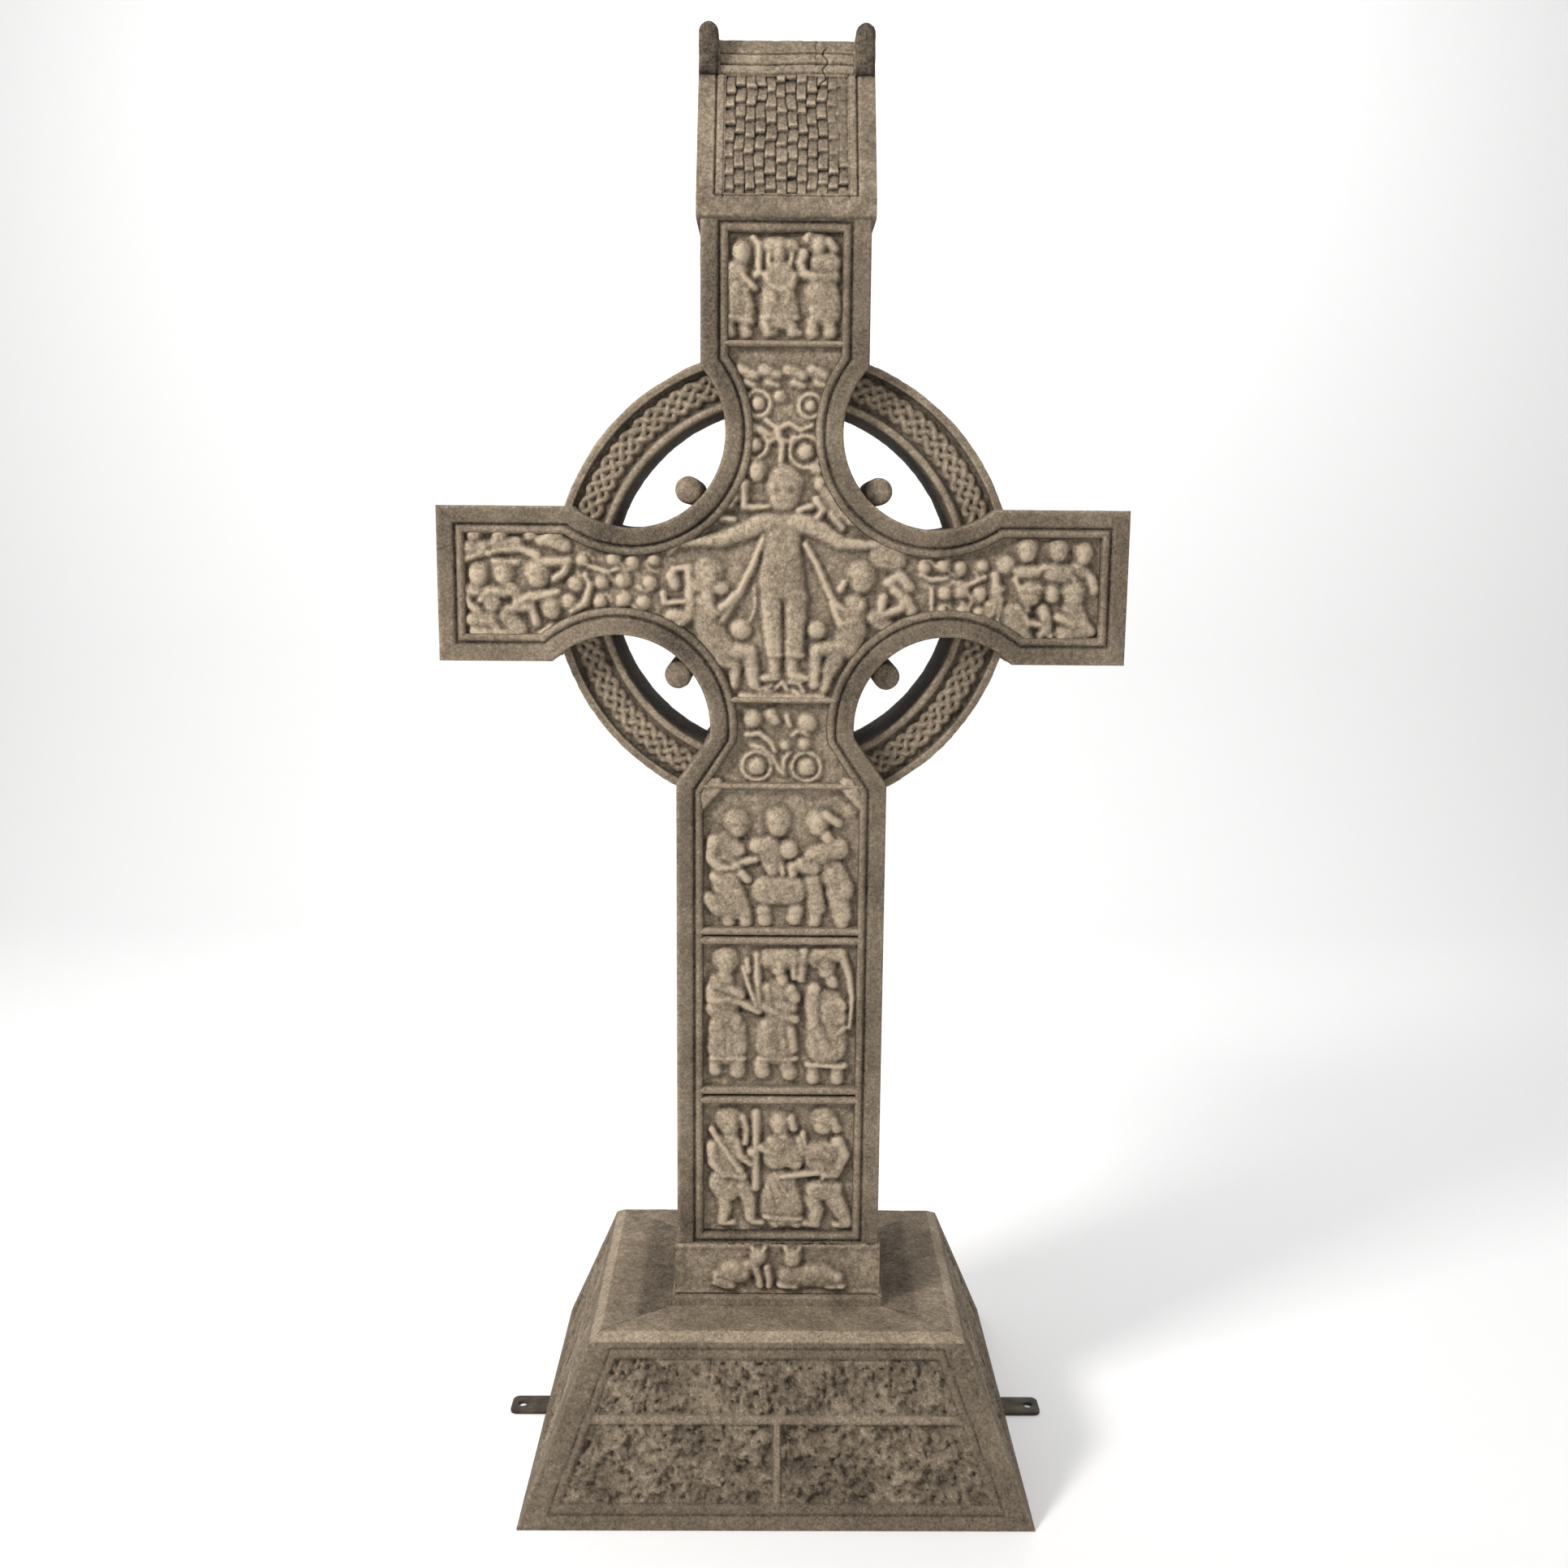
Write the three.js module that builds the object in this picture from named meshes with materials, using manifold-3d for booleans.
// Cast garden replica of a ringed high cross on its stepped plinth.
// Millimetres, +Z up, front towards -Y, origin at the middle of the plinth's underside.

import * as THREE from 'three';
import { mergeVertices } from 'three/addons/utils/BufferGeometryUtils.js';
import Module from 'manifold-3d';

const wasm = await Module();
wasm.setup();

// Plinth
const PLINTH_WIDTH = 640;
const PLINTH_DEPTH = 545;
const PLINTH_STEEP_HEIGHT = 204;
const PLINTH_SLOPE_RUN = 82;
const PLINTH_BEVEL_HEIGHT = 8;
const PLINTH_BEVEL_RUN = 14;
const PAD_HEIGHT = 11;
const PAD_MARGIN = 4;
const ROUGH_DEPTH = 5;
const ROUGH_MARGIN = 42;
const ROUGH_BOTTOM = 28;
const ROUGH_SPLIT = 113;
const ROUGH_TOP = 185;
const ROUGH_BAR = 9;

// Cross outline
const CROSS_DEPTH = 200;
const ARM_HALF_SPAN = 421;
const ARM_HALF_HEIGHT = 94;
const ARM_CENTRE_ABOVE_FOOT = 923;
const NECK_HALF_WIDTH = 101;
const SHAFT_HALF_WIDTH = 131;
const ARMPIT_RADIUS = 114;
const UPPER_ARMPIT_X = 185;
const UPPER_ARMPIT_RISE = 183;
const LOWER_ARMPIT_X = 203;
const LOWER_ARMPIT_DROP = 175;
const SHOULDER_DROP = 245;
const SHOULDER_START = 13;
const EAVE_ABOVE_CENTRE = 427;
const SEAT_GAP = 0.3;

// Foot block
const FOOT_HEIGHT = 70;
const FOOT_PROJECTION = 6;
const FOOT_MARGIN = 3;

// Mouldings
const BORDER = 21;
const GROOVE_WIDTH = 3;
const GROOVE_DEPTH = 2.5;
const ROLL = 9;
const RECESS = 12;
const FOOT_ROLL = 12;
const SIDE_PANEL_DEPTH = 4;
const SIDE_PANEL_MARGIN = 30;

// Ring
const RING_OUTER = 286;
const RING_INNER = 222;
const RING_SETBACK = 30;
const RING_BORDER = 11;
const RING_ROLL = 10;
const RING_RECESS = 8;
const STRAND_RADIUS = 4.2;
const STRAND_CROSSINGS = 5;
const KNOB_RADIUS = 17;
const KNOB_SETBACK = 22;
const RING_SEGMENTS = 44;

// Cap
const CAP_HALF_WIDTH = 106;
const EAVE_HEIGHT = 24;
const EAVE_PROJECTION = 4;
const ROOF_RISE = 200;
const RIDGE_DEPTH = 14;
const CAP_BORDER = 24;
const SHINGLE_COLUMNS = 10;
const SHINGLE_ROWS = 5;
const SHINGLE_STEP = 4;
const SHINGLE_TILT = 0.09;
const SHINGLE_END = 0.775;
const SHINGLE_START = 0.035;
const FINIAL_WIDTH = 24;
const FINIAL_HEIGHT = 46;
const FINIAL_RISE = 15;
const FINIAL_DEPTH = 66;

// Fixing lugs
const LUG_WIDTH = 40;
const LUG_THICKNESS = 4;
const LUG_VISIBLE = 49;
const LUG_INSIDE = 70;
const LUG_HOLE_RADIUS = 6;
const LUG_HOLE_INSET = 15;
const LUG_CORNER = 9;
const LUG_CLEARANCE = 0.3;

const ARC_STEPS = 9;
const LUG_ARC_STEPS = 4;
const RELIEF_SIDES = 6;
const RELIEF_RINGS = 4;
const BOSS_LIFT = 2;
const CUT_MARGIN = 5;

// Cross bars between the panels, lowest and highest level above the crossing.
const BARS = [[280, 293], [-145, -135], [-253, -243], [-456, -431], [-667, -639]];

// Carved people: middle and foot level from the crossing, and their height.
const STANDING = [
  { x: -51, foot: 297, height: 105, hem: 0.2 },
  { x: -6, foot: 295, height: 112, hem: 0.22 },
  { x: 44, foot: 297, height: 110, hem: 0.22, arm: -1 },
  { x: -56, foot: -425, height: 146, hem: 0.18 },
  { x: -3, foot: -427, height: 150, hem: 0.24 },
  { x: 55, foot: -425, height: 148, hem: 0.14, arm: -1 },
  { x: -64, foot: -632, height: 166, hem: 0.2 },
  { x: 1, foot: -632, height: 160, hem: 0.14 },
  { x: 62, foot: -632, height: 160, hem: 0.1, arm: -1 },
  { x: -62, foot: -830, height: 152, hem: 0.4, lean: -0.02 },
  { x: 3, foot: -832, height: 152, hem: 0.1 },
  { x: 62, foot: -830, height: 154, hem: 0.4, lean: 0.02, arm: -1 },
  { x: 282, foot: -62, height: 80, hem: 0.1 },
  { x: 321, foot: -60, height: 64, hem: 0.2 },
  { x: 359, foot: -62, height: 84, hem: 0.1, arm: -1 },
];

// Rows of round heads and bosses: first x, last x, level, count, radius.
const BOSS_ROWS = [
  [-376, -308, 65, 3, 14], [-275, -275, 50, 1, 14], [-373, -297, 11, 3, 14], [-355, -288, -27, 2, 13],
  [-259, -259, 2, 1, 11], [-248, -160, 29, 4, 9], [-221, -164, 3, 3, 10], [-223, -171, -21, 3, 9],
  [-131, -131, 12, 1, 13], [-127, -127, -26, 1, 13], [171, 243, 20, 4, 9], [270, 270, 27, 1, 13],
  [300, 366, 43, 3, 13], [198, 241, -8, 3, 9], [195, 239, -30, 3, 8], [139, 139, -6, 1, 16],
  [-45, 45, 252, 4, 12], [-32, 32, 216, 3, 9], [-36, 25, 166, 2, 11], [-6, -6, 194, 1, 9],
  [-36, 31, -165, 2, 12], [4, 28, -197, 2, 8], [-31, 30, -224, 2, 14], [122, 122, 34, 1, 18],
];

// Plain bosses of the back: x, level above the crossing, radius.
const BACK_BOSSES = [
  [0, 0, 42], [-330, 0, 24], [330, 0, 24], [0, 350, 24], [0, -345, 24], [0, -545, 24], [0, -750, 24],
];

// Levels that follow from the sizes above
const plinthTop = PLINTH_STEEP_HEIGHT + PLINTH_BEVEL_HEIGHT;
const padTop = plinthTop + PAD_HEIGHT;
const crossFoot = padTop + SEAT_GAP;
const armCentre = crossFoot + ARM_CENTRE_ABOVE_FOOT;
const eaveLevel = armCentre + EAVE_ABOVE_CENTRE;
const footTop = crossFoot + FOOT_HEIGHT;
const front = -CROSS_DEPTH / 2;
const floor = front + RECESS;
const frameInset = BORDER + GROOVE_WIDTH + ROLL;
const roofFoot = eaveLevel + EAVE_HEIGHT;
const ridgeLevel = roofFoot + ROOF_RISE;

function solid(geometry) {
  geometry.deleteAttribute('normal');
  geometry.deleteAttribute('uv');
  const merged = mergeVertices(geometry, 1e-4);
  const vertProperties = new Float32Array(merged.attributes.position.array);
  const triVerts = new Uint32Array(merged.index.array);
  return new wasm.Manifold(new wasm.Mesh({ numProp: 3, vertProperties, triVerts }));
}

function meshOf(manifold, name, material) {
  const { vertProperties, triVerts } = manifold.getMesh();
  const geometry = new THREE.BufferGeometry();
  geometry.setAttribute('position', new THREE.BufferAttribute(vertProperties, 3));
  geometry.setIndex(new THREE.BufferAttribute(triVerts, 1));
  geometry.computeVertexNormals();
  const mesh = new THREE.Mesh(geometry, material);
  mesh.name = name;
  return mesh;
}

// An outline in x and z becomes a slab between two levels of y.
function slab(points, yFront, yBack) {
  const shape = new THREE.Shape(points);
  const geometry = new THREE.ExtrudeGeometry(shape, { depth: yBack - yFront, bevelEnabled: false });
  geometry.rotateX(Math.PI / 2);
  geometry.translate(0, yBack, 0);
  return solid(geometry);
}

function block(x, y, z, width, depth, height) {
  const geometry = new THREE.BoxGeometry(width, depth, height);
  geometry.translate(x, y, z);
  return solid(geometry);
}

function joined(solids) {
  return solids.reduce((whole, piece) => whole.add(piece));
}

// The same relief on the back, turned about the vertical axis.
function turned(manifold) {
  const geometry = meshOf(manifold, 'turned', undefined).geometry;
  geometry.rotateZ(Math.PI);
  return solid(geometry);
}

function arcPoints(x, z, radius, from, to) {
  return Array.from({ length: ARC_STEPS + 1 }, (_, i) => {
    const angle = from + ((to - from) * i) / ARC_STEPS;
    return new THREE.Vector2(x + radius * Math.cos(angle), z + radius * Math.sin(angle));
  });
}

// Right edge of the cross from the foot upwards, moved inwards by an inset.
// The shaft widens at a slanted shoulder below each lower armpit.
function rightEdge(inset, bottom, top) {
  const radius = ARMPIT_RADIUS + inset;
  const shaft = SHAFT_HALF_WIDTH - inset;
  const neck = NECK_HALF_WIDTH - inset;
  const span = ARM_HALF_SPAN - inset;
  const armHalf = ARM_HALF_HEIGHT - inset;
  const waist = LOWER_ARMPIT_X - ARMPIT_RADIUS;
  const lowerZ = armCentre - LOWER_ARMPIT_DROP;
  const upperZ = armCentre + UPPER_ARMPIT_RISE;
  const run = SHAFT_HALF_WIDTH - waist;
  const rise = SHOULDER_DROP - LOWER_ARMPIT_DROP - SHOULDER_START;
  const shoulderZ = armCentre - SHOULDER_DROP - (inset * (Math.hypot(run, rise) - rise)) / run;
  const lowerStart = Math.PI + Math.asin(SHOULDER_START / ARMPIT_RADIUS);
  const lowerEnd = Math.asin((LOWER_ARMPIT_DROP - armHalf) / radius);
  const upperStart = -Math.asin((UPPER_ARMPIT_RISE - armHalf) / radius);
  const upperEnd = -Math.PI - Math.acos((UPPER_ARMPIT_X - neck) / radius);
  return [
    new THREE.Vector2(shaft, bottom),
    new THREE.Vector2(shaft, shoulderZ),
    ...arcPoints(LOWER_ARMPIT_X, lowerZ, radius, lowerStart, lowerEnd),
    new THREE.Vector2(span, armCentre - armHalf),
    new THREE.Vector2(span, armCentre + armHalf),
    ...arcPoints(UPPER_ARMPIT_X, upperZ, radius, upperStart, upperEnd),
    new THREE.Vector2(neck, top),
  ];
}

function crossOutline(inset, bottom, top) {
  const right = rightEdge(inset, bottom, top);
  const left = right.map((p) => new THREE.Vector2(-p.x, p.y)).reverse();
  return [...right, ...left];
}

function band(bottom, top, yFront, yBack) {
  const middle = armCentre + (bottom + top) / 2;
  return block(0, (yFront + yBack) / 2, middle, 2 * SHAFT_HALF_WIDTH, yBack - yFront, top - bottom);
}

// Panels sunk inside the frame, parted by flat cross bars.
function faceCuts() {
  const bottom = footTop + FOOT_ROLL;
  const top = eaveLevel - FOOT_ROLL;
  const outer = front - CUT_MARGIN;
  const bars = BARS.map(([low, high]) => band(low, high, outer - 1, floor + 1));
  const panels = slab(crossOutline(frameInset, bottom, top), outer, floor).subtract(joined(bars));
  const grooveFloor = front + GROOVE_DEPTH;
  const grooveInner = BORDER + GROOVE_WIDTH;
  const groove = slab(crossOutline(BORDER, footTop, eaveLevel), outer, grooveFloor)
    .subtract(slab(crossOutline(grooveInner, footTop - 1, eaveLevel + 1), outer - 1, grooveFloor + 1));
  const lines = BARS.filter(([low, high]) => high - low > 2 * ROLL)
    .map(([low, high]) => (low + high) / 2)
    .map((middle) => band(middle - 1, middle + 1, outer, grooveFloor));
  const width = 2 * (SHAFT_HALF_WIDTH - frameInset);
  const clipped = joined(lines).intersect(block(0, 0, armCentre, width, CROSS_DEPTH * 2, EAVE_ABOVE_CENTRE * 3));
  return [panels, groove, clipped];
}

// Plain sunk panels on the narrow sides of the shaft, arms and upper arm.
function sideCuts() {
  const depth = CROSS_DEPTH - 2 * SIDE_PANEL_MARGIN;
  const reach = 2 * SIDE_PANEL_DEPTH;
  const shaftBottom = footTop + FOOT_ROLL;
  const shaftTop = armCentre - SHOULDER_DROP - FOOT_ROLL;
  const neckBottom = armCentre + RING_OUTER + FOOT_ROLL;
  const neckTop = eaveLevel - FOOT_ROLL;
  const armHeight = 2 * ARM_HALF_HEIGHT - 2 * SIDE_PANEL_MARGIN;
  const rows = [
    [SHAFT_HALF_WIDTH, shaftBottom, shaftTop],
    [NECK_HALF_WIDTH, neckBottom, neckTop],
    [ARM_HALF_SPAN, armCentre - armHeight / 2, armCentre + armHeight / 2],
  ];
  return rows.flatMap(([x, low, high]) =>
    [-1, 1].map((side) => block(side * x, 0, (low + high) / 2, reach, depth, high - low)));
}

function boss(x, z, radius, lift = BOSS_LIFT) {
  const geometry = new THREE.SphereGeometry(radius, RELIEF_SIDES, RELIEF_RINGS);
  geometry.scale(1, Math.min(1, (RECESS - lift) / radius), 1);
  geometry.translate(x, floor, armCentre + z);
  return solid(geometry);
}

// A tapering limb between two points of the face, flattened into the relief.
function limb(from, to, fromRadius, toRadius, lift = RECESS * 0.7) {
  const across = to[0] - from[0];
  const up = to[1] - from[1];
  const geometry = new THREE.CylinderGeometry(toRadius, fromRadius, Math.hypot(across, up), RELIEF_SIDES);
  geometry.rotateX(Math.PI / 2);
  geometry.scale(1, lift / Math.max(fromRadius, toRadius), 1);
  geometry.rotateY(Math.atan2(across, up));
  geometry.translate((from[0] + to[0]) / 2, floor, armCentre + (from[1] + to[1]) / 2);
  return solid(geometry);
}

// A standing figure: head, tapering coat, two legs and an arm bent across it.
function figure({ x, foot, height, hem = 0.28, lean = 0, arm = 1 }) {
  const at = (dx, share) => [x + dx * height + lean * share * height, foot + share * height];
  return [
    boss(...at(0, 0.88), height * 0.11, 1),
    limb(at(0, hem), at(0, 0.8), height * 0.17, height * 0.13),
    limb(at(-0.08, 0), at(-0.07, hem + 0.04), height * 0.05, height * 0.06),
    limb(at(0.08, 0), at(0.07, hem + 0.04), height * 0.05, height * 0.06),
    limb(at(arm * 0.13, 0.72), at(arm * 0.2, 0.5), height * 0.05, height * 0.04, RECESS * 0.85),
  ];
}

function bossRow([from, to, z, count, radius]) {
  return Array.from({ length: count }, (_, i) => {
    const share = count > 1 ? i / (count - 1) : 0;
    return boss(from + (to - from) * share, z, radius);
  });
}

// The standing figure of the crossing with its arms held out along the arms of the cross.
function centreFigure() {
  const head = boss(0, 119, 19, 0.5);
  const neck = limb([0, 70], [0, 110], 12, 10);
  const trunk = limb([0, -20], [0, 75], 25, 32, 10);
  const legs = [-1, 1].map((side) => limb([side * 15, -88], [side * 14, -5], 11, 15, 9));
  const feet = [-1, 1].map((side) => limb([side * 14, -118], [side * 12, -88], 9, 7, 8));
  const upperArms = [-1, 1].map((side) => limb([side * 22, 66], [side * 80, 46], 12, 9, 9));
  const lowerArms = [-1, 1].map((side) => limb([side * 76, 47], [side * 128, 49], 9, 7, 8));
  const poles = [-1, 1].map((side) => limb([side * 76, -42], [side * 28, 54], 4, 4, 7));
  return [head, neck, trunk, ...legs, ...feet, ...upperArms, ...lowerArms, ...poles];
}

// Bent figures on each side of the crossing: two above the arms, two kneeling below.
function attendants() {
  return [-1, 1].flatMap((side) => [
    boss(side * 35, 138, 12),
    limb([side * 38, 130], [side * 66, 92], 11, 9, 8),
    limb([side * 62, 92], [side * 88, 78], 8, 5, 7),
    boss(side * 89, 8, 18, 1),
    limb([side * 92, -12], [side * 84, -76], 18, 13, 9),
    limb([side * 84, -22], [side * 52, -4], 7, 5, 8),
    limb([side * 84, -78], [side * 46, -96], 11, 9, 9),
    limb([side * 48, -92], [side * 44, -120], 8, 7, 8),
    boss(side * 46, -56, 12),
  ]);
}

// A curled cat lying on the foot block, with its head at one end.
function cat(x, z, headSide) {
  const body = new THREE.SphereGeometry(1, RELIEF_SIDES + 2, RELIEF_RINGS);
  body.scale(34, 9, 17);
  body.translate(x, front - FOOT_PROJECTION, crossFoot + z);
  const head = new THREE.SphereGeometry(12, RELIEF_SIDES, RELIEF_RINGS);
  head.scale(1, 0.85, 1);
  head.translate(x + headSide * 33, front - FOOT_PROJECTION, crossFoot + z + 19);
  return [solid(body), solid(head)];
}

function faceRelief() {
  const people = STANDING.flatMap((person) => figure(person));
  const bosses = BOSS_ROWS.flatMap((row) => bossRow(row));
  const cats = [...cat(-58, 28, 1), ...cat(48, 26, -1)];
  const limits = slab(crossOutline(frameInset - 1, crossFoot, eaveLevel), front, floor + RECESS);
  const carved = joined([...people, ...bosses, ...centreFigure(), ...attendants()]).intersect(limits);
  return joined([carved, ...cats]);
}

// The wheel between the arms, with a sunk band for the plait on its front and back.
function ring() {
  const half = CROSS_DEPTH / 2 - RING_SETBACK;
  const sunk = half - RING_RECESS;
  const outerBand = RING_OUTER - RING_BORDER;
  const innerBand = RING_INNER + RING_ROLL;
  const profile = [
    [RING_INNER, -half], [innerBand, -half], [innerBand, -sunk], [outerBand, -sunk],
    [outerBand, -half], [RING_OUTER, -half], [RING_OUTER, half], [outerBand, half],
    [outerBand, sunk], [innerBand, sunk], [innerBand, half], [RING_INNER, half], [RING_INNER, -half],
  ].map(([r, y]) => new THREE.Vector2(r, y));
  const geometry = new THREE.LatheGeometry(profile, RING_SEGMENTS);
  geometry.translate(0, 0, armCentre);
  return solid(geometry);
}

// One strand of the plait, swinging from side to side of the band.
function strand(from, to, phase, y) {
  const middle = (RING_OUTER - RING_BORDER + RING_INNER + RING_ROLL) / 2;
  const swing = (RING_OUTER - RING_BORDER - RING_INNER - RING_ROLL) / 2 - STRAND_RADIUS;
  const steps = STRAND_CROSSINGS * 2;
  const points = Array.from({ length: steps + 1 }, (_, i) => {
    const share = i / steps;
    const angle = from + (to - from) * share;
    const r = middle + swing * Math.sin(Math.PI * STRAND_CROSSINGS * share + phase);
    return new THREE.Vector3(r * Math.cos(angle), y, armCentre + r * Math.sin(angle));
  });
  const section = new THREE.Shape([[-1, -1], [1, -1], [1, 1], [-1, 1]]
    .map(([u, v]) => new THREE.Vector2(u * STRAND_RADIUS, v * STRAND_RADIUS)));
  const path = new THREE.CatmullRomCurve3(points);
  return solid(new THREE.ExtrudeGeometry(section, { steps, extrudePath: path, bevelEnabled: false }));
}

function ringPlait() {
  const y = front + RING_SETBACK + RING_RECESS - STRAND_RADIUS / 3;
  const nearArm = Math.asin((ARM_HALF_HEIGHT + BORDER) / RING_OUTER);
  const nearNeck = Math.acos((NECK_HALF_WIDTH + GROOVE_WIDTH) / RING_OUTER);
  return [0, 1].flatMap((half) => [
    strand(nearArm, nearNeck, half * Math.PI, y),
    strand(Math.PI - nearArm, Math.PI - nearNeck, half * Math.PI, y),
    strand(-nearArm, -nearNeck, half * Math.PI, y),
    strand(Math.PI + nearArm, Math.PI + nearNeck, half * Math.PI, y),
  ]);
}

// Round-ended lugs on the armpit faces, running through the depth of the cross.
function knob(side, x, rise) {
  const angle = Math.atan2(-rise, -side * x);
  const reach = ARMPIT_RADIUS - KNOB_RADIUS;
  const across = Math.PI / 2;
  const tip = arcPoints(side * x + reach * Math.cos(angle), armCentre + rise + reach * Math.sin(angle),
    KNOB_RADIUS, angle + across, angle + 3 * across);
  const root = [1, -1].map((way) => new THREE.Vector2(
    side * x + (ARMPIT_RADIUS + KNOB_RADIUS) * Math.cos(angle) + way * KNOB_RADIUS * Math.sin(angle),
    armCentre + rise + (ARMPIT_RADIUS + KNOB_RADIUS) * Math.sin(angle) - way * KNOB_RADIUS * Math.cos(angle)));
  return slab([...tip, ...root], front + KNOB_SETBACK, -front - KNOB_SETBACK);
}

// House-shaped cap: eave band, two roof slopes and a ridge along x.
function capBody() {
  const half = CROSS_DEPTH / 2 + EAVE_PROJECTION;
  const profile = [[-half, eaveLevel], [half, eaveLevel], [half, roofFoot],
    [RIDGE_DEPTH / 2, ridgeLevel], [-RIDGE_DEPTH / 2, ridgeLevel], [-half, roofFoot]];
  const shape = new THREE.Shape(profile.map(([y, z]) => new THREE.Vector2(y, z)));
  const geometry = new THREE.ExtrudeGeometry(shape, { depth: 2 * CAP_HALF_WIDTH, bevelEnabled: false });
  const turn = new THREE.Matrix4().makeBasis(
    new THREE.Vector3(0, 1, 0), new THREE.Vector3(0, 0, 1), new THREE.Vector3(1, 0, 0));
  geometry.applyMatrix4(turn);
  geometry.translate(-CAP_HALF_WIDTH, 0, 0);
  return solid(geometry);
}

// A box lying on the front roof slope, its middle a share of the way up.
// The back slope keeps its sunk field plain.
function onRoof(x, share, width, length, thickness, lift, tilt = 0) {
  const run = CROSS_DEPTH / 2 + EAVE_PROJECTION - RIDGE_DEPTH / 2;
  const slope = Math.atan2(run, ROOF_RISE);
  const geometry = new THREE.BoxGeometry(width, thickness, length);
  geometry.rotateX(-slope - tilt);
  const y = -RIDGE_DEPTH / 2 - run * (1 - share) - lift * Math.cos(slope);
  geometry.translate(x, y, roofFoot + ROOF_RISE * share + lift * Math.sin(slope));
  return solid(geometry);
}

function roofSlope() {
  const run = CROSS_DEPTH / 2 + EAVE_PROJECTION - RIDGE_DEPTH / 2;
  const length = Math.hypot(run, ROOF_RISE);
  const width = 2 * (CAP_HALF_WIDTH - CAP_BORDER - ROLL);
  const field = (SHINGLE_END - SHINGLE_START) * length;
  const middle = (SHINGLE_END + SHINGLE_START) / 2;
  const sunk = onRoof(0, middle, width, field, 2 * SHINGLE_STEP, 0);
  const grooves = [-1, 1].map((side) =>
    onRoof(side * (CAP_HALF_WIDTH - CAP_BORDER), 0.5, GROOVE_WIDTH, length * 0.97, 2 * GROOVE_DEPTH, 0));
  const pitch = width / SHINGLE_COLUMNS;
  const rowPitch = (SHINGLE_END - SHINGLE_START) / SHINGLE_ROWS;
  const shingles = Array.from({ length: SHINGLE_COLUMNS }, (_, column) => {
    const offset = column % 2 ? 0.5 : 1;
    const rows = SHINGLE_ROWS - (column % 2 ? 0 : 1);
    return Array.from({ length: rows }, (_unused, row) => onRoof(
      (column + 0.5) * pitch - width / 2, SHINGLE_START + (row + offset) * rowPitch,
      pitch * 0.84, rowPitch * length * 0.9, SHINGLE_STEP * 1.4, -SHINGLE_STEP * 0.9, -SHINGLE_TILT));
  }).flat();
  const ridgeRolls = [0.81, 0.875].map((share) => onRoof(0, share, width, ROLL, 2 * GROOVE_DEPTH, 0));
  return { cuts: [sunk, ...grooves], shingles, ridgeRolls };
}

function finial(side) {
  const bottom = ridgeLevel - FINIAL_HEIGHT;
  const top = ridgeLevel + FINIAL_RISE;
  const radius = FINIAL_WIDTH / 2;
  const x = side * (CAP_HALF_WIDTH - radius);
  const head = arcPoints(x, top - radius, radius, 0, Math.PI);
  const outline = [...head, new THREE.Vector2(x - radius, bottom), new THREE.Vector2(x + radius, bottom)];
  return slab(outline, -FINIAL_DEPTH / 2, FINIAL_DEPTH / 2);
}

function cap() {
  const slope = roofSlope();
  const cuts = joined(slope.cuts);
  const ridgeRolls = joined(slope.ridgeRolls);
  return joined([
    capBody().subtract(cuts).subtract(turned(cuts)),
    joined(slope.shingles), ridgeRolls, turned(ridgeRolls), finial(-1), finial(1),
  ]);
}

function footBlock() {
  const width = 2 * (SHAFT_HALF_WIDTH + FOOT_MARGIN);
  const depth = CROSS_DEPTH + 2 * FOOT_PROJECTION;
  return block(0, 0, crossFoot + FOOT_HEIGHT / 2, width, depth, FOOT_HEIGHT);
}

function crossSolid() {
  const body = slab(crossOutline(0, crossFoot, eaveLevel + 1), front, -front);
  const cuts = joined(faceCuts());
  const framed = body.subtract(cuts).subtract(turned(cuts)).subtract(joined(sideCuts()));
  const knobs = [-1, 1].flatMap((side) => [
    knob(side, UPPER_ARMPIT_X, UPPER_ARMPIT_RISE), knob(side, LOWER_ARMPIT_X, -LOWER_ARMPIT_DROP)]);
  const backBosses = BACK_BOSSES.map(([x, z, radius]) => boss(x, z, radius));
  const backRelief = turned(joined(backBosses));
  return joined([framed, ring(), ...ringPlait(), ...knobs, footBlock(), cap(), faceRelief(), backRelief]);
}

// A four-sided block whose top is smaller than its foot.
function tapered(width, depth, run, bottom, top, x = 0, y = 0) {
  const geometry = new THREE.BoxGeometry(1, 1, 1);
  const position = geometry.attributes.position;
  for (let i = 0; i < position.count; i += 1) {
    const inset = position.getZ(i) > 0 ? 2 * run : 0;
    const level = position.getZ(i) > 0 ? top : bottom;
    position.setXYZ(i, x + position.getX(i) * (width - inset), y + position.getY(i) * (depth - inset), level);
  }
  return solid(geometry);
}

// Upright four-sided outline on a sloping face that stays a margin inside its edges.
function faceOutline(faceWidth, margin, low, high) {
  const half = (z) => faceWidth / 2 - (PLINTH_SLOPE_RUN * z) / PLINTH_STEEP_HEIGHT - margin;
  return [[-half(low), low], [half(low), low], [half(high), high], [-half(high), high]]
    .map(([x, z]) => new THREE.Vector2(x, z));
}

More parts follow.
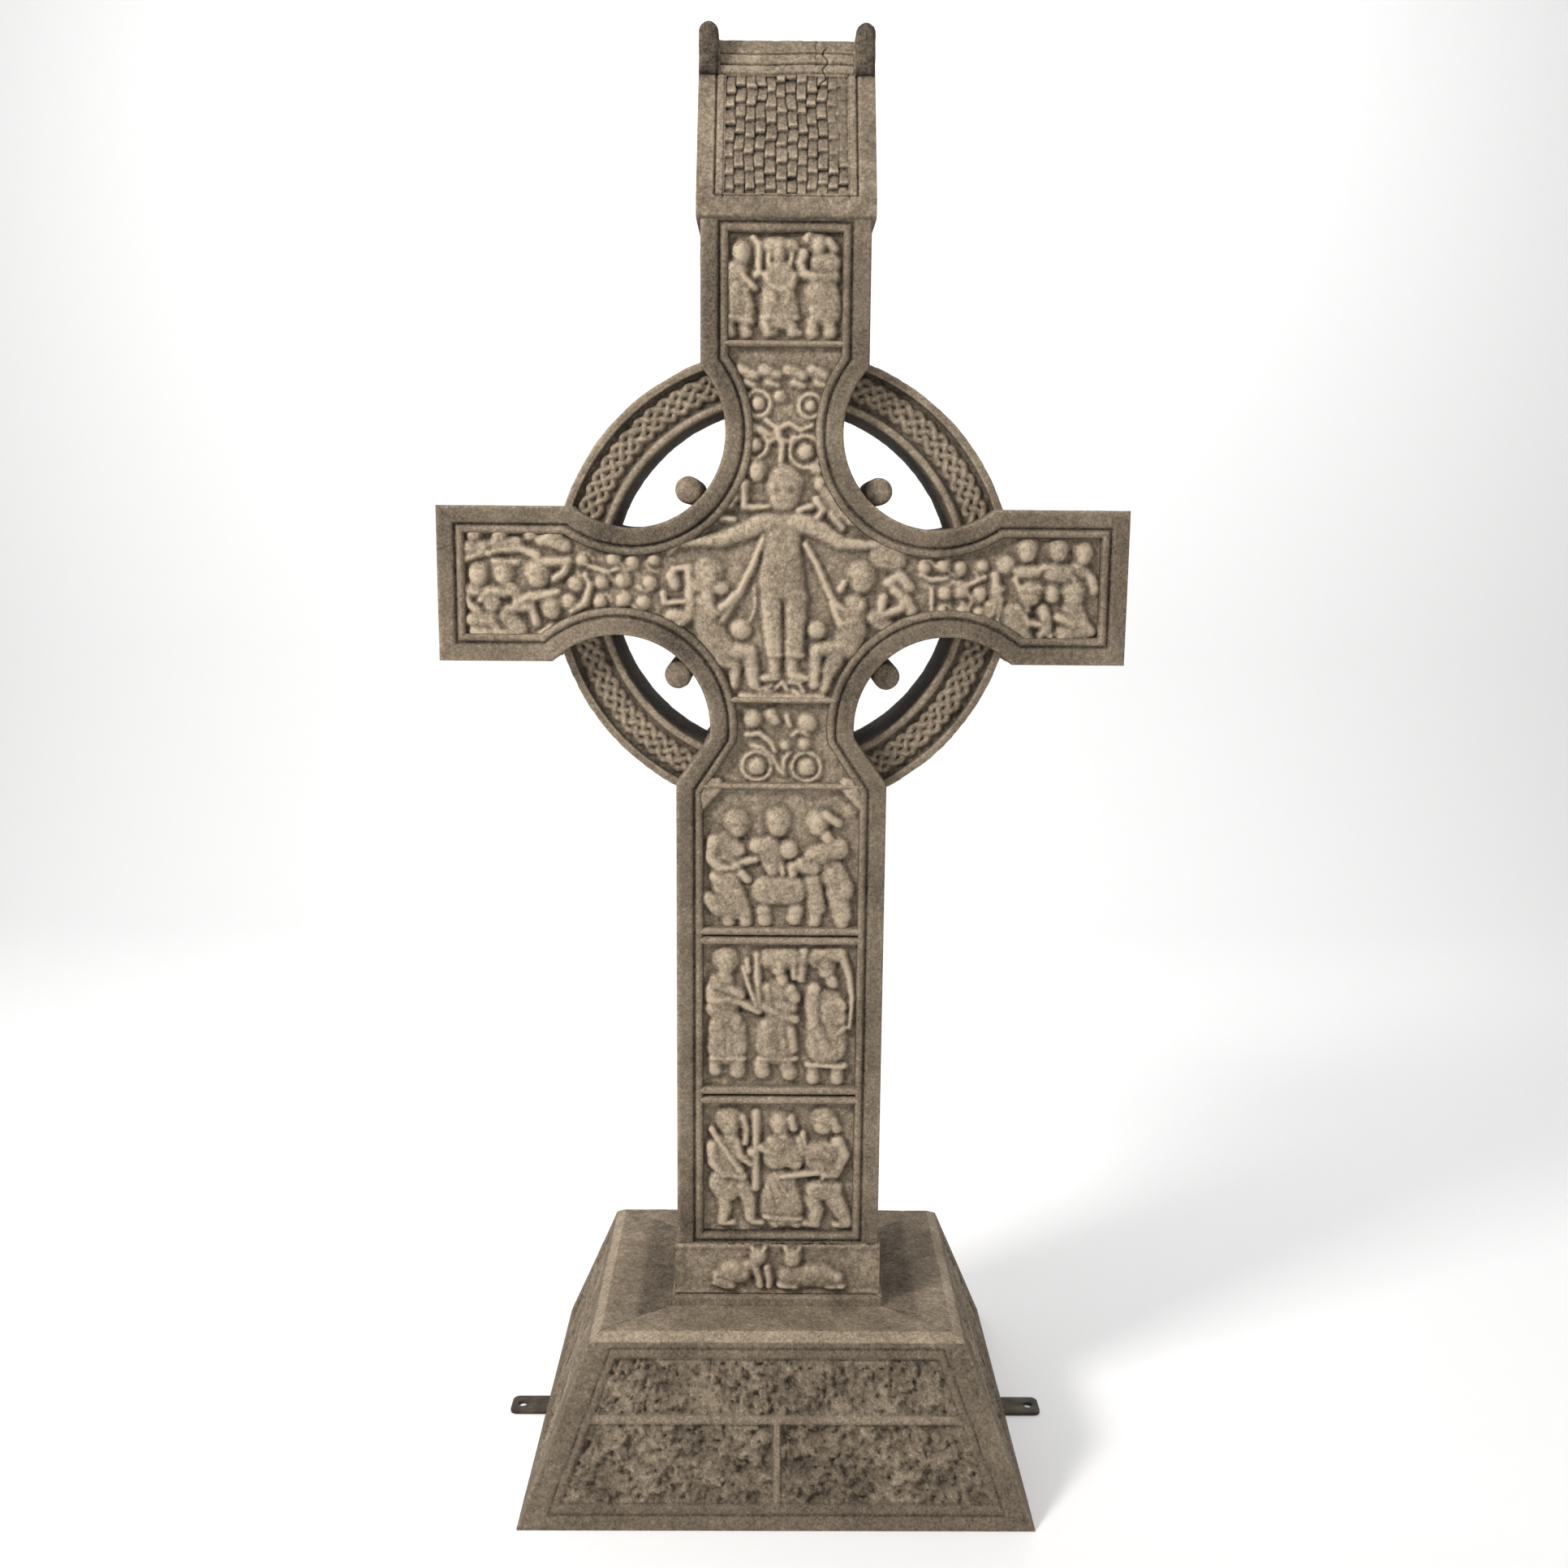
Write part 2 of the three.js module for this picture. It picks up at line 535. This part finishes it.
// Rough panels and the groove around them, cut into one sloping face of the plinth.
function plinthFaceCuts(faceWidth, faceDepth) {
  const reach = faceDepth / 2 + CUT_MARGIN;
  const upperLow = ROUGH_SPLIT + ROUGH_BAR;
  const panels = joined([
    slab(faceOutline(faceWidth, ROUGH_MARGIN, upperLow, ROUGH_TOP), -reach, 0),
    slab(faceOutline(faceWidth, ROUGH_MARGIN, ROUGH_BOTTOM, ROUGH_SPLIT), -reach, 0),
  ]).subtract(block(0, 0, ROUGH_SPLIT / 2, ROUGH_BAR, 2 * reach + 2, ROUGH_SPLIT + ROUGH_BAR));
  const inner = ROUGH_MARGIN - ROLL;
  const outer = inner - GROOVE_WIDTH;
  const groove = slab(faceOutline(faceWidth, outer, ROUGH_BOTTOM - ROLL, ROUGH_TOP + GROOVE_WIDTH), -reach, 0)
    .subtract(slab(faceOutline(faceWidth, inner, 0, ROUGH_TOP), -reach - 1, 1));
  return { panels, groove };
}

function quarterTurn(manifold) {
  const geometry = meshOf(manifold, 'turned', undefined).geometry;
  geometry.rotateZ(Math.PI / 2);
  return solid(geometry);
}

function insetPyramid(inset) {
  const height = PLINTH_STEEP_HEIGHT;
  const grow = CUT_MARGIN / height;
  const run = PLINTH_SLOPE_RUN * (1 + 2 * grow);
  const side = 2 * (PLINTH_SLOPE_RUN * grow - inset);
  return tapered(PLINTH_WIDTH + side, PLINTH_DEPTH + side, run, -CUT_MARGIN, height + CUT_MARGIN);
}

function plinthSolid() {
  const bevelWidth = PLINTH_WIDTH - 2 * PLINTH_SLOPE_RUN;
  const bevelDepth = PLINTH_DEPTH - 2 * PLINTH_SLOPE_RUN;
  const steep = tapered(PLINTH_WIDTH, PLINTH_DEPTH, PLINTH_SLOPE_RUN, 0, PLINTH_STEEP_HEIGHT);
  const bevel = tapered(bevelWidth, bevelDepth, PLINTH_BEVEL_RUN, PLINTH_STEEP_HEIGHT, plinthTop);
  const padWidth = 2 * (SHAFT_HALF_WIDTH + FOOT_MARGIN + PAD_MARGIN);
  const padDepth = CROSS_DEPTH + 2 * FOOT_PROJECTION + 2 * PAD_MARGIN;
  const pad = block(0, 0, padTop - PAD_HEIGHT, padWidth, padDepth, 2 * PAD_HEIGHT);
  const fronts = plinthFaceCuts(PLINTH_WIDTH, PLINTH_DEPTH);
  const sides = plinthFaceCuts(PLINTH_DEPTH, PLINTH_WIDTH);
  const allPanels = joined([fronts.panels, turned(fronts.panels),
    quarterTurn(sides.panels), turned(quarterTurn(sides.panels))]);
  const allGrooves = joined([fronts.groove, turned(fronts.groove),
    quarterTurn(sides.groove), turned(quarterTurn(sides.groove))]);
  const slots = [-1, 1].map((side) => block(
    side * (PLINTH_WIDTH / 2 + LUG_VISIBLE / 2 - (LUG_INSIDE + LUG_CLEARANCE) / 2), 0,
    (LUG_THICKNESS + LUG_CLEARANCE - CUT_MARGIN) / 2,
    LUG_VISIBLE + LUG_INSIDE + LUG_CLEARANCE, LUG_WIDTH + 2 * LUG_CLEARANCE,
    LUG_THICKNESS + LUG_CLEARANCE + CUT_MARGIN));
  return steep.add(bevel).add(pad)
    .subtract(allPanels.subtract(insetPyramid(ROUGH_DEPTH)))
    .subtract(allGrooves.subtract(insetPyramid(GROOVE_DEPTH)))
    .subtract(joined(slots));
}

// Steel strap lying under the plinth, with a round hole near its rounded outer end.
function lugGeometry(side) {
  const half = LUG_WIDTH / 2;
  const inner = PLINTH_WIDTH / 2 - LUG_INSIDE;
  const outer = PLINTH_WIDTH / 2 + LUG_VISIBLE;
  const corner = outer - LUG_CORNER;
  const shape = new THREE.Shape();
  shape.moveTo(inner, -half);
  shape.lineTo(corner, -half);
  shape.absarc(corner, LUG_CORNER - half, LUG_CORNER, -Math.PI / 2, 0, false);
  shape.absarc(corner, half - LUG_CORNER, LUG_CORNER, 0, Math.PI / 2, false);
  shape.lineTo(inner, half);
  shape.closePath();
  const hole = new THREE.Path();
  const quarters = [4, 3, 2, 1].map((turn) => (turn * Math.PI) / 2);
  quarters.forEach((from) => {
    hole.absarc(outer - LUG_HOLE_INSET, 0, LUG_HOLE_RADIUS, from, from - Math.PI / 2, true);
  });
  shape.holes.push(hole);
  const options = { depth: LUG_THICKNESS, bevelEnabled: false, curveSegments: LUG_ARC_STEPS };
  const geometry = new THREE.ExtrudeGeometry(shape, options);
  if (side < 0) geometry.rotateZ(Math.PI);
  return geometry;
}

const castStone = new THREE.MeshStandardMaterial({ color: 0x8b7e68, roughness: 0.92, metalness: 0 });
const darkSteel = new THREE.MeshStandardMaterial({ color: 0x3a342a, roughness: 0.55, metalness: 0.8 });

const memorial = new THREE.Group();
memorial.add(meshOf(plinthSolid(), 'plinth', castStone));
memorial.add(meshOf(crossSolid(), 'cross', castStone));
[[-1, 'fixing_lug_left'], [1, 'fixing_lug_right']].forEach(([side, name]) => {
  memorial.add(meshOf(solid(lugGeometry(side)), name, darkSteel));
});

export default memorial;
